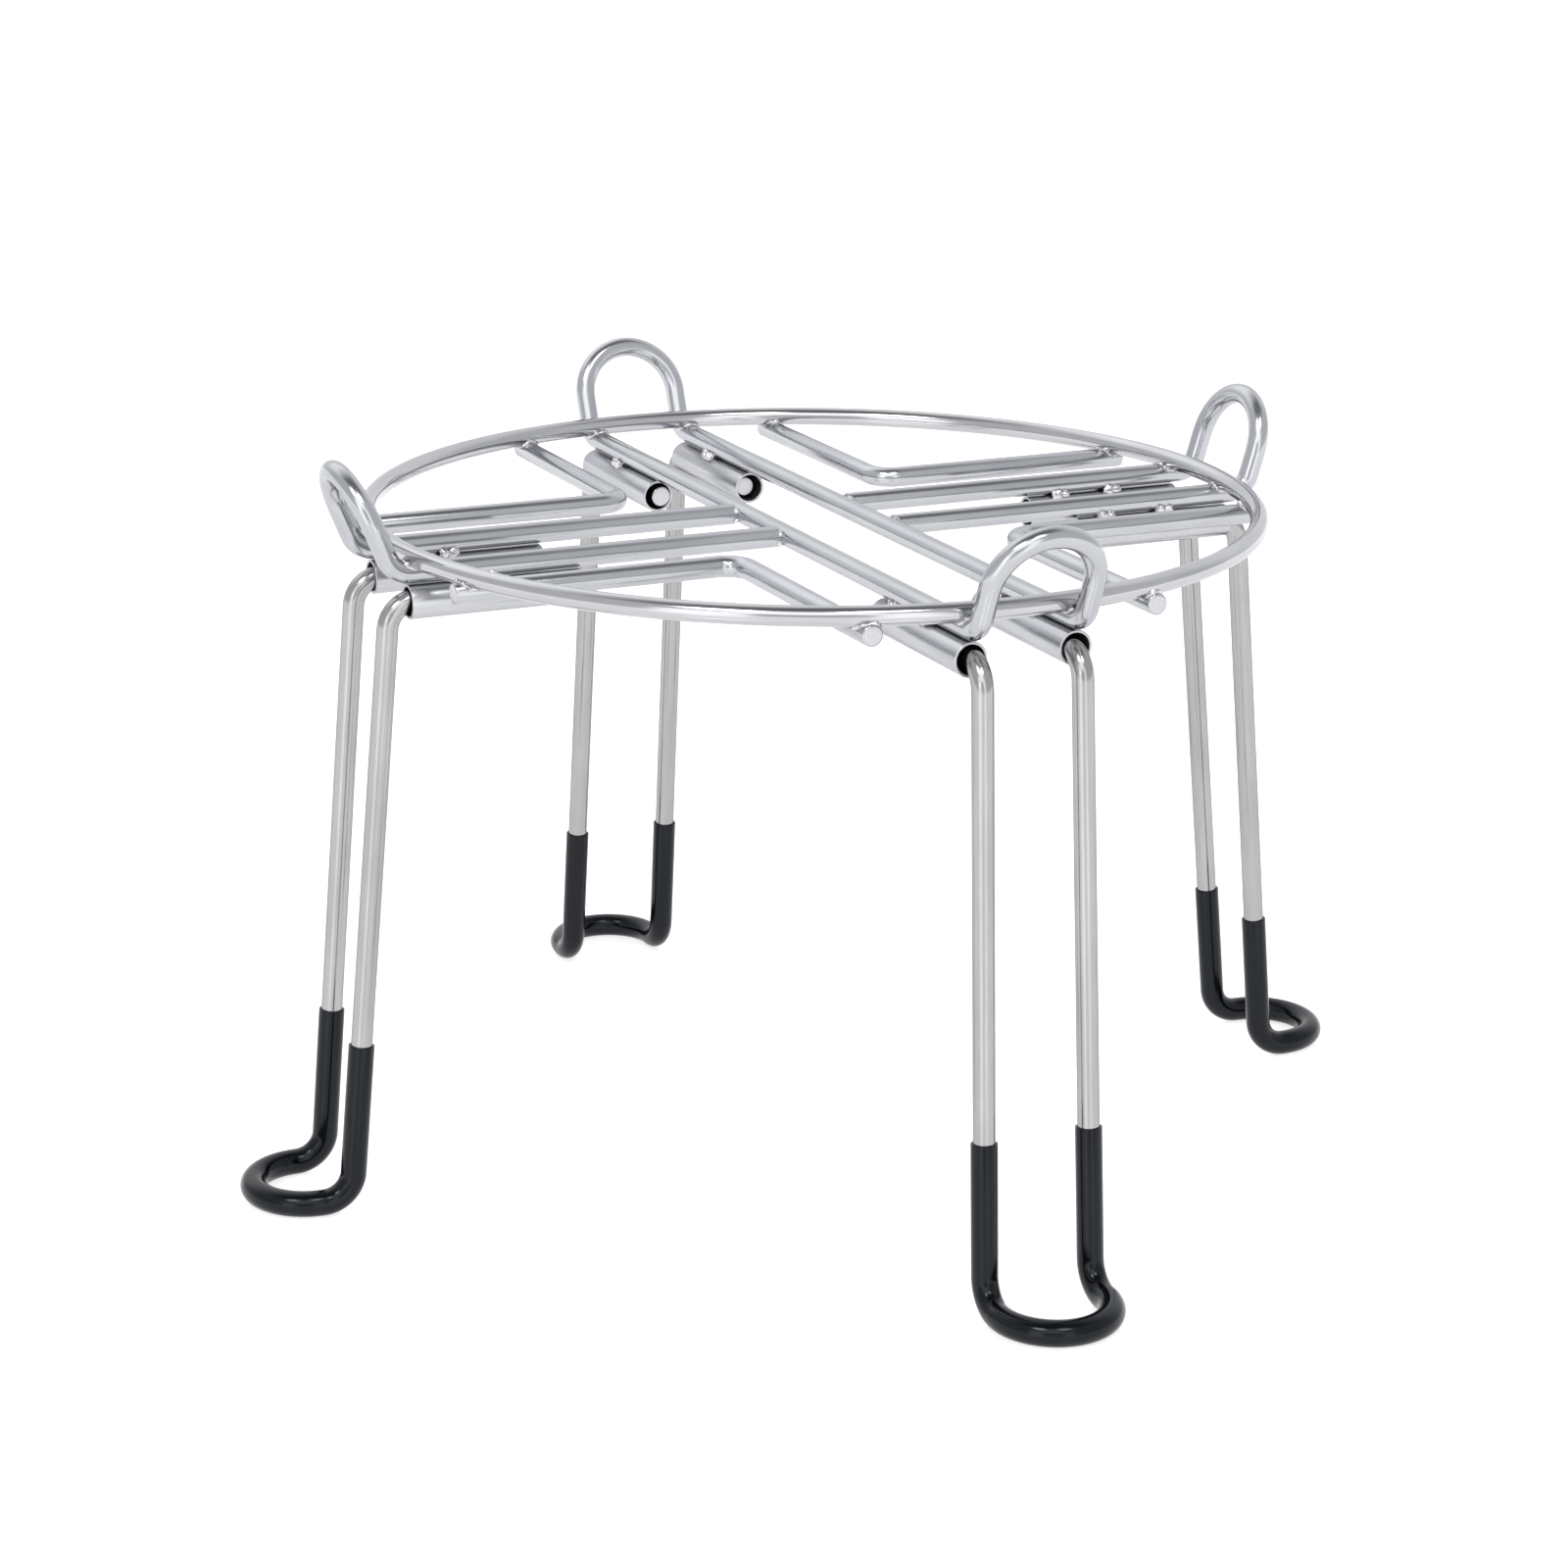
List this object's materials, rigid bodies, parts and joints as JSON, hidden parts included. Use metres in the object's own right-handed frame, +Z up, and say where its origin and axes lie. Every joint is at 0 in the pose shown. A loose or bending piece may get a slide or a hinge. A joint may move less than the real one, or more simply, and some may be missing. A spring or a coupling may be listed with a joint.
{
  "type": "cooling rack",
  "caption": "Round raised wire cooling rack: a steel ring on a welded cross of bars with upturned end loops, on plug-in wire legs with black foot sleeves.",
  "frame": {"origin": "on the surface that the rack stands on, under the middle of the top ring", "axes": "+Z up; the two long bars run along Y; the side arms run along X; +X is right and -Y is front"},
  "size_m": [0.318, 0.318, 0.1909],
  "materials": {
    "ring_wire": "bright drawn stainless wire",
    "frame_wire": "bright drawn stainless wire",
    "socket_tube": "bright stainless tube, slightly duller than the wire",
    "leg_wire": "bright drawn stainless wire",
    "foot_sleeve": "smooth satin black vinyl"
  },
  "bodies": {
    "rack": {"top_ring": "ring_wire", "long_frame_wire": "frame_wire", "left_arm_wire": "frame_wire", "right_arm_wire": "frame_wire", "back_right_corner_wire": "frame_wire", "back_left_corner_wire": "frame_wire", "front_left_corner_wire": "frame_wire", "front_right_corner_wire": "frame_wire", "right_socket_front": "socket_tube", "right_socket_back": "socket_tube", "back_socket_right": "socket_tube", "back_socket_left": "socket_tube", "left_socket_back": "socket_tube", "left_socket_front": "socket_tube", "front_socket_left": "socket_tube", "front_socket_right": "socket_tube"},
    "right_leg": {"right_leg_wire": "leg_wire", "right_foot_sleeve": "foot_sleeve"},
    "back_leg": {"back_leg_wire": "leg_wire", "back_foot_sleeve": "foot_sleeve"},
    "left_leg": {"left_leg_wire": "leg_wire", "left_foot_sleeve": "foot_sleeve"},
    "front_leg": {"front_leg_wire": "leg_wire", "front_foot_sleeve": "foot_sleeve"}
  },
  "joints": [
    {"name": "right_leg_pull", "type": "slide", "parent": "rack", "child": "right_leg", "axis": [1, 0, 0], "range_m": [0, 0.05]},
    {"name": "back_leg_pull", "type": "slide", "parent": "rack", "child": "back_leg", "axis": [0, 1, 0], "range_m": [0, 0.05]},
    {"name": "left_leg_pull", "type": "slide", "parent": "rack", "child": "left_leg", "axis": [-1, 0, 0], "range_m": [0, 0.05]},
    {"name": "front_leg_pull", "type": "slide", "parent": "rack", "child": "front_leg", "axis": [0, -1, 0], "range_m": [0, 0.05]}
  ]
}
